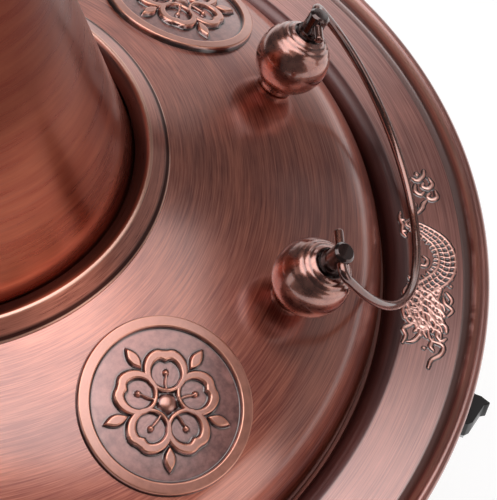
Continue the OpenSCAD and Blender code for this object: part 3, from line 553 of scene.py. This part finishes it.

# --- Lid collar ------------------------------------------------------------------------------------------
# A turned ring soldered round the lid's hole: a sloping brushed band with a painted dark line at its foot, a
# painted shadow of its seam, a bright crest, and a smooth dish painted dark grey, a painted shade and
# reflection, that leaves a hair's breadth of gap to the chimney.
COLLAR_R, BAND_Z, DISH_R, DISH_Z = 72.97, 178.7, 65.6, 182.3
HOLE_R, LIP_Z, NECK_R = 61.97, 179.5, 63.66
neck_z = DOME_Z + (DOME_R**2 - 64.0**2) ** 0.5 + 0.1
collar_rows = rounded([
    (COLLAR_R, DOME_Z + (DOME_R**2 - COLLAR_R**2) ** 0.5 + 0.1, 0.1), (COLLAR_R, BAND_Z, 0.5),
    (67.3, 182.62, 0.8), (66.57, 182.9, 0.35), (65.9, 182.55, 0), (DISH_R, DISH_Z, 0), (HOLE_R, 180.6, 0),
    (HOLE_R, LIP_Z, 0), (NECK_R, LIP_Z, 0.2), (NECK_R, neck_z, 0.2)])
band_foot = run_at(collar_rows, COLLAR_R, BAND_Z)
collar_metal = copper(
    "polished_copper_collar", tone(156, 82, 66), tone(206, 126, 104), rough=(0.26, 0.38), aniso=0.7,
    worn=tone(226, 166, 144), dirt=tone(52, 28, 26), lacquer=(1.9, 0.16),
    # Painted shade and reflection: the dish is painted dark grey with thin lacquer, and the line at the
    # band's foot is a painted seam shadow.
    zones=((run_at(collar_rows, DISH_R, DISH_Z), run_at(collar_rows, HOLE_R, LIP_Z), tone(84, 62, 62), 0.9),
           (band_foot + 0.0001, band_foot + 0.0018, tone(62, 30, 26), 0.95)))
put("collar_turned", turn("collar_turned", collar_rows, 320), collar_metal, "lid", "polished_copper",
    "lid_collar")

# --- Medallions ------------------------------------------------------------------------------------------
# Four round castings on the dome, each a raised ring round a five-petalled blossom. Their tops are rubbed
# bright and the sunk ground keeps a grey patina, darkest at the foot of the ring and petals. A dark line
# painted round each casting's outer edge is a painted shadow where it sits on the dome.
MEDAL_R, RING_W, MEDAL_AT = 26.8, 4.2, 108.2
MEDAL_RISE, GROUND_RISE, MEDAL_TURN, MEDAL_HALF = 2.0, 0.5, -3.0, 46.5


def blossom(x, y):
    """Height 0 to 1 of a plum blossom: five petal outlines, thicker outside, stamens, a pistil and five
    sepals."""
    rho, phi = np.hypot(x, y), np.arctan2(y, x)
    field = ridge(rho, 3.0) * 0.9
    for k in range(5):
        a = phi - 2 * np.pi * k / 5
        px, py = rho * np.cos(a), rho * np.sin(a)
        from_middle = np.hypot(px - 9.4, py)
        bearing = np.arctan2(py, px - 9.4)
        notch = 0.9 * np.exp(-(bearing / 0.32) ** 2)
        width = 1.35 + 0.5 * np.cos(bearing)
        field = np.maximum(field, plateau(np.abs(from_middle - 5.6 + notch), width))
        field = np.maximum(field, stroke(px, py, ((3.4, 0.0), (5.6, 0.3), (8.4, 0.0)), 0.55) * 0.8)
        field = np.maximum(field, ridge(np.hypot(px - 9.0, py), 0.95) * 0.9)
        b = a - np.pi / 5
        qx, qy = rho * np.cos(b), rho * np.sin(b)
        leaf = 1.9 * np.clip(np.sin(np.pi * np.clip((qx - 12.2) / 8.0, 0, 1)), 0, 1)
        field = np.maximum(field, plateau(np.abs(qy), leaf + 1e-6))
    return field


def plateau(away, half_width):
    """Flat-topped stroke with steep rounded sides."""
    t = np.clip((half_width - away) / 0.55, 0, 1)
    return t * t * (3 - 2 * t)


medal_metal = copper("relief_copper_medallion", tone(128, 78, 74), tone(176, 118, 110), lines=(8.0, 500.0),
                     rough=(0.28, 0.42), bump=0.4, patches=90.0, worn=tone(236, 152, 120),
                     dirt=tone(54, 28, 26))
rho = np.concatenate([np.linspace(0.0, 20.0, 62), np.linspace(20.3, MEDAL_R, 26)])
phi = np.arange(400) * 2 * np.pi / 400
rho_grid, phi_grid = np.meshgrid(rho, phi, indexing="ij")
flat_x, flat_y = rho_grid * np.cos(phi_grid), rho_grid * np.sin(phi_grid)
raised = np.maximum(blossom(flat_x, flat_y), plateau(np.abs(rho_grid - MEDAL_R + RING_W / 2), RING_W / 2))
edge = np.clip((MEDAL_R - rho_grid) / 0.7, 0, 1)
medal_lift = GROUND_RISE + (MEDAL_RISE - GROUND_RISE) * raised - (1 - edge) ** 2 * 0.9
soft = raised.copy()
for _ in range(14):
    soft = (soft * 2 + np.roll(soft, 1, 1) + np.roll(soft, -1, 1) + np.vstack([soft[1:], soft[-1:]])
            + np.vstack([soft[:1], soft[:-1]])) / 6
medal_wear_and_shadow = np.where(raised > 0.6, 0.25 + 2.2 * (raised - soft), 3.6 * (raised - soft))
medal_wear_and_shadow = np.clip(np.where(raised > 0.6, np.clip(medal_wear_and_shadow, 0.45, 1), medal_wear_and_shadow), -1, 1)
# Painted shadow: the casting's outer edge takes the full dirt tone, as a dark line where it meets the dome.
medal_wear_and_shadow = np.where(rho_grid > MEDAL_R - 0.35, -1.0, medal_wear_and_shadow)
top = np.stack([flat_x, flat_y, np.sqrt((DOME_R + medal_lift) ** 2 - rho_grid**2)], -1) * MM
under = np.stack([flat_x, flat_y, np.sqrt((DOME_R - 0.9) ** 2 - rho_grid**2)], -1)[::-1] * MM
casting = np.concatenate([top, under])[::-1]
spin = np.stack([np.cos(phi_grid), np.sin(phi_grid), rho_grid * MM], -1)
for number, bearing in enumerate((MEDAL_TURN + MEDAL_HALF, MEDAL_TURN + 180 - MEDAL_HALF,
                                  MEDAL_TURN + 180 + MEDAL_HALF, MEDAL_TURN - MEDAL_HALF), 1):
    lean = (Matrix.Rotation(np.radians(bearing), 4, "Z")
            @ Matrix.Rotation(np.arcsin(MEDAL_AT / DOME_R), 4, "Y"))
    shell = casting @ np.array(lean.to_3x3()).T + np.array([0, 0, DOME_Z * MM])
    mesh = grid_mesh(f"medallion_cast_{number}", shell, np.concatenate([spin, spin[::-1]])[::-1],
                     np.concatenate([medal_wear_and_shadow, medal_wear_and_shadow[::-1]])[::-1], closed_u=False)
    put(f"medallion_cast_{number}", mesh, medal_metal, "lid", "relief_copper", f"medallion_{number}")

# --- Ball knobs ------------------------------------------------------------------------------------------
# Four turned balls, each on a short neck square to the dome, with beads cut round its top below the eye post.
# They are polished, with darker patina left in the grooves. Nuts and washers hold them from inside.
BALL_R, BALL_UP, BALL_LEAN, BALL_AZ = 12.2, DOME_R + 13.0, 24.468, 20.852
ball_metal = copper("polished_copper_ball", tone(140, 82, 72), tone(190, 128, 112), lines=(3.0, 420.0),
                    rough=(0.22, 0.34), bump=0.4, patches=180.0, worn=tone(232, 184, 166),
                    dirt=tone(58, 30, 26), lacquer=(1.9, 0.10))
theta = np.linspace(150, 26, 90)
beads = -0.15 * np.exp(-((theta - 33.0) / 2.2) ** 2) - 0.12 * np.exp(-((theta - 42.0) / 2.6) ** 2)
beads = beads - 0.05 * np.exp(-((theta - 53.0) / 2.8) ** 2)
ball_rows = [
    [0.0, -17.4, 0.0], [2.5, -17.4, 0.0], [2.5, -12.9, 0.0], [5.6, -12.85, 0.6], [6.0, -12.6, 0.9],
    [6.0, -11.4, 0.0],
    *[[(BALL_R + lift_at) * np.sin(np.radians(at)), (BALL_R + lift_at) * np.cos(np.radians(at)),
       float(np.clip(lift_at * 4, -1, 1))] for at, lift_at in zip(theta, beads)],
    [4.9, 11.25, -0.8], [4.7, 11.05, -1.0], [0.0, 11.0, -1.0]]
for number, bearing in enumerate((BALL_AZ, -BALL_AZ, 180 - BALL_AZ, 180 + BALL_AZ), 1):
    stand = (Matrix.Translation((0, 0, DOME_Z * MM)) @ Matrix.Rotation(np.radians(bearing), 4, "Z")
             @ Matrix.Rotation(np.radians(BALL_LEAN), 4, "Y") @ Matrix.Translation((0, 0, BALL_UP * MM)))
    put(f"ball_turned_{number}", turn(f"ball_turned_{number}", ball_rows, 128, stand), ball_metal, "lid",
        "polished_copper", f"ball_{number}")
eased("ball_washers_steel", "ball_washers", satin_steel, "lid", "steel", 0.15)
eased("ball_nuts_steel", "ball_nuts", satin_steel, "lid", "steel", 0.25)

# --- Eye posts -------------------------------------------------------------------------------------------
# A short round post on each ball, drilled across for the bail's wire, bronzed nearly black with bright edges.
post_metal = copper("bronzed_post", tone(52, 30, 28), tone(92, 58, 52), lines=(3.0, 500.0), rough=(0.2, 0.34),
                    bump=0.3, patches=200.0, lacquer=(1.7, 0.1))
for number in range(1, 5):
    eased(f"eye_post_turned_{number}", f"eye_post_{number}", post_metal, "lid", "bronzed_wire", 0.35)

# --- Wire bails ------------------------------------------------------------------------------------------
# Two handles bent from 3 mm wire: a half round bow, a tight bend at each side, and straight ends that turn in
# the eye posts. They lie folded down over the flange, brown, lighter along their upper side: the bronze worn
# through there, and a painted highlight.
HINGE_X, HINGE_Z, BOW_R, BEND, LEG, WIRE_R, FALL = 121.150, 189.460, 53.046, 3.0, 4.0, 1.5, np.radians(54.460)
TIP_Y = 37.246


def tube(name, path, radii, flat_normal, sides=24):
    """Tube along a flat path: ring k is path[k] + radius (cos side + sin normal), with side square to the
    path."""
    ahead = np.gradient(path, axis=0)
    ahead /= np.linalg.norm(ahead, axis=1, keepdims=True)
    side = np.cross(ahead, flat_normal)
    a = np.arange(sides) * 2 * np.pi / sides
    ring = (np.cos(a)[None, :, None] * side[:, None]
            + np.sin(a)[None, :, None] * np.array(flat_normal)[None, None])
    points = (path[:, None] + radii[:, None, None] * ring) * MM
    run = np.concatenate([[0.0], np.cumsum(np.linalg.norm(np.diff(path, axis=0), axis=1))]) * MM
    turned = np.stack(np.broadcast_arrays(np.cos(a)[None], np.sin(a)[None], run[:, None]), -1)
    # Attribute wear rises on the tube's upper side: worn bronze and a painted highlight there.
    return grid_mesh(name, points[:, ::-1], turned[:, ::-1],
                     np.clip(ring[:, ::-1, 2] * 1.6 - 0.9, -0.2, 0.8), closed_u=False)


wire_metal = copper("bronzed_wire", tone(80, 40, 34), tone(122, 68, 56), lines=(1.5, 260.0),
                    rough=(0.2, 0.32), bump=0.3, patches=90.0, worn=tone(150, 96, 80), lacquer=(1.9, 0.05))
bow = np.radians(np.linspace(90, -90, 120))
bend = np.radians(np.linspace(180, 90, 14))
tip = np.sin(np.linspace(0, np.pi / 2, 8))
half = np.concatenate([
    np.stack([np.zeros(8), TIP_Y + (1 - np.cos(np.linspace(0, np.pi / 2, 8))) * 1.2], -1),
    np.stack([np.zeros(10), np.linspace(TIP_Y + 2, BOW_R - BEND - 0.6, 10)], -1),
    np.stack([BEND + BEND * np.cos(bend), BOW_R - BEND + BEND * np.sin(bend)], -1),
    np.stack([BEND + np.linspace(0.5, LEG, 8), np.full(8, BOW_R)], -1)])
flat = np.concatenate([half, np.stack([BEND + LEG + BOW_R * np.cos(bow), BOW_R * np.sin(bow)], -1)[1:-1],
                       half[::-1] * [1, -1]])
radii = np.full(len(flat), WIRE_R)
radii[:8], radii[-8:] = WIRE_R * np.sqrt(1 - (1 - tip) ** 2), WIRE_R * np.sqrt(1 - (1 - tip[::-1]) ** 2)
for side, way in (("right", 1), ("left", -1)):
    path = np.stack([way * (HINGE_X + flat[:, 0] * np.cos(FALL)), way * flat[:, 1],
                     HINGE_Z - flat[:, 0] * np.sin(FALL)], -1)
    up = np.array([way * np.sin(FALL), 0.0, np.cos(FALL)])
    put("bail_wire_" + side, tube("bail_wire_" + side, path, radii, up), wire_metal, "bail_" + side,
        "bronzed_wire", "bail_" + side)

# --- Chimney cap -----------------------------------------------------------------------------------------
# A small spun cap over the chimney's mouth, which damps the fire, with a black ball knob on one screw.
cap_metal = copper("chimney_copper_cap", tone(148, 88, 74), tone(194, 130, 110), lines=(5.0, 900.0),
                   rough=(0.22, 0.36), aniso=0.5, worn=tone(222, 172, 152), dirt=tone(70, 40, 36))
CAP_IN, CAP_R, CAP_Z, CAP_TOP = 32.19, 33.59, 292.0, 304.0
put("cap_spun", turn("cap_spun", rounded([
    (CAP_IN, CAP_Z - 7, 0.3), (CAP_R, CAP_Z - 7, 0.5), (CAP_R, CAP_Z - 0.4, 0.4),
    *arc(CAP_R - 5, CAP_Z, 5, 15, 70, 8), (CAP_R * 0.4, CAP_TOP - 1.5, 6.0), (1.8, CAP_TOP, 0.1),
    (1.8, CAP_TOP - 1.4, 0.1),
    (CAP_R * 0.4, CAP_TOP - 2.9, 6.0), *arc(CAP_R - 5, CAP_Z, 3.6, 70, 15, 8), (CAP_IN, CAP_Z, 0.2)]), 192),
    cap_metal, "cap", "chimney_copper", "chimney_cap")
put("cap_knob_turned", turn("cap_knob_turned", rounded([
    (0, 304.1, 0), (4.8, 304.1, 0.3), (4.8, 305.7, 0.5), (3.4, 306.3, 0.5),
    *arc(0, 314.9, 8, -62, 90, 30)]), 96), black_moulding, "cap", "black_bakelite", "cap_knob")
eased("cap_screw_steel", "cap_screw", satin_steel, "cap", "steel", 0.2)

# --- Studio ----------------------------------------------------------------------------------------------
# A white floor in a dim room with a pale backdrop behind the pot. Two overlapping softboxes hang overhead,
# five weaker panels stand round the pot where its metal mirrors them, and the camera looks down from where
# the photograph was taken, high over the right half of the lid.
floor_mesh = bpy.data.meshes.new("floor")
floor_mesh.from_pydata([(-4, -4, 0), (4, -4, 0), (4, 4, 0), (-4, 4, 0)], [], [(0, 1, 2, 3)])
floor = bpy.data.objects.new("floor", floor_mesh)
bpy.context.scene.collection.objects.link(floor)
floor_mat = bpy.data.materials.new("white_floor")
floor_mat.use_nodes = True
ft = floor_mat.node_tree
ft.nodes.clear()
ray = add(ft, "LightPath")
seen = calc(ft, "MINIMUM", calc(ft, "ADD", calc(ft, "ADD", ray.outputs["Is Camera Ray"],
                                                ray.outputs["Is Glossy Ray"]),
                                ray.outputs["Is Transmission Ray"]), 1.0)
paper = add(ft, "BsdfDiffuse", {"Color": tone(235, 234, 233)}).outputs[0]
glow = add(ft, "Emission", {"Color": (1, 1, 1, 1), "Strength": 0.86}).outputs[0]
thin_paper = add(ft, "MixShader", {0: calc(ft, "MULTIPLY", seen, 0.72), 1: paper, 2: glow}).outputs[0]
lit = add(ft, "AddShader", {0: thin_paper, 1: add(ft, "Emission", {"Color": (1, 1, 1, 1), "Strength": calc(
    ft, "MULTIPLY", seen, 0.24)}).outputs[0]}).outputs[0]
ft.links.new(lit, add(ft, "OutputMaterial").inputs[0])
floor_mesh.materials.append(floor_mat)

world = bpy.data.worlds.new("studio")
bpy.context.scene.world = world
world.use_nodes = True
wt = world.node_tree
wt.nodes.clear()
look = add(wt, "SeparateXYZ", {0: add(wt, "TexCoord").outputs["Generated"]}).outputs
behind = calc(wt, "ADD", calc(wt, "MULTIPLY", look[0], 0.2), calc(wt, "MULTIPLY", look[1], 0.98))
backdrop_share = calc(wt, "MULTIPLY", spread(wt, look[2], 0.08, 0.26, 1.0, 0.0),
                      spread(wt, behind, 0.70, 0.96))
dim_room, pale_cloth, pale_wall = (0.09, 0.085, 0.085, 1), (0.9, 0.9, 0.9, 1), (0.92, 0.92, 0.92, 1)
sky = mixed(wt, backdrop_share, dim_room, pale_cloth)
rays = add(wt, "LightPath")
backdrop = mixed(wt, rays.outputs["Is Camera Ray"], sky, pale_wall)
wt.links.new(add(wt, "Background", {"Color": backdrop, "Strength": 1.0}).outputs[0],
             add(wt, "OutputWorld").inputs[0])


def softbox(name, at, aim, size, radiance, tint=(1.0, 1.0, 1.0)):
    """Rectangular lamp at a point, turned to aim. Its power gives the wished radiance over its own face."""
    lamp = bpy.data.lights.new(name, "AREA")
    lamp.shape, lamp.size, lamp.size_y = "RECTANGLE", *size
    lamp.energy = radiance * np.pi * size[0] * size[1]
    lamp.color = tint
    holder = bpy.data.objects.new(name, lamp)
    holder.location = at
    holder.rotation_euler = (Vector(aim) - Vector(at)).to_track_quat("-Z", "Y").to_euler()
    holder.visible_camera = False
    bpy.context.scene.collection.objects.link(holder)


softbox("softbox_overhead", (-0.05, 0.14, 1.5), (-0.05, 0.1401, 0.0), (2.2, 1.2), 1.2)
softbox("softbox_core", (-0.14, 0.10, 1.49), (-0.14, 0.1001, 0.0), (1.42, 1.1), 1.1)
softbox("panel_back", (0.52, 1.5, 0.75), (0.4, 0.0, 0.2), (0.85, 1.1), 0.45)
softbox("panel_high", (0.27, 1.5, 1.52), (0.2, 0.0, 0.2), (0.5, 0.42), 1.3)
softbox("panel_right", (1.5, 0.0, 0.7), (0.0, 0.0, 0.2), (2.4, 1.0), 0.16)
softbox("panel_front", (1.25, -0.80, 0.68), (0.0, 0.0, 0.2), (0.8, 1.15), 1.0, (1.0, 0.95, 0.9))
softbox("panel_left", (-1.5, -0.30, 0.50), (0.0, 0.0, 0.2), (0.8, 0.8), 0.8)

camera_data = bpy.data.cameras.new("camera")
camera_data.lens, camera_data.sensor_width, camera_data.clip_start = 119.8, 36.0, 0.01
camera = bpy.data.objects.new("camera", camera_data)
right, upward = Vector((0.99551, -0.05178, 0.07929)), Vector((-0.00266, 0.82167, 0.56996))
forward = Vector((0.09466, 0.56761, -0.81784))
camera.matrix_world = Matrix.Translation((0.04829, -0.31928, 0.58566)) @ Matrix(
    (right, upward, -forward)).transposed().to_4x4()
bpy.context.scene.collection.objects.link(camera)
bpy.context.scene.camera = camera
bpy.context.scene.view_settings.view_transform = "Standard"
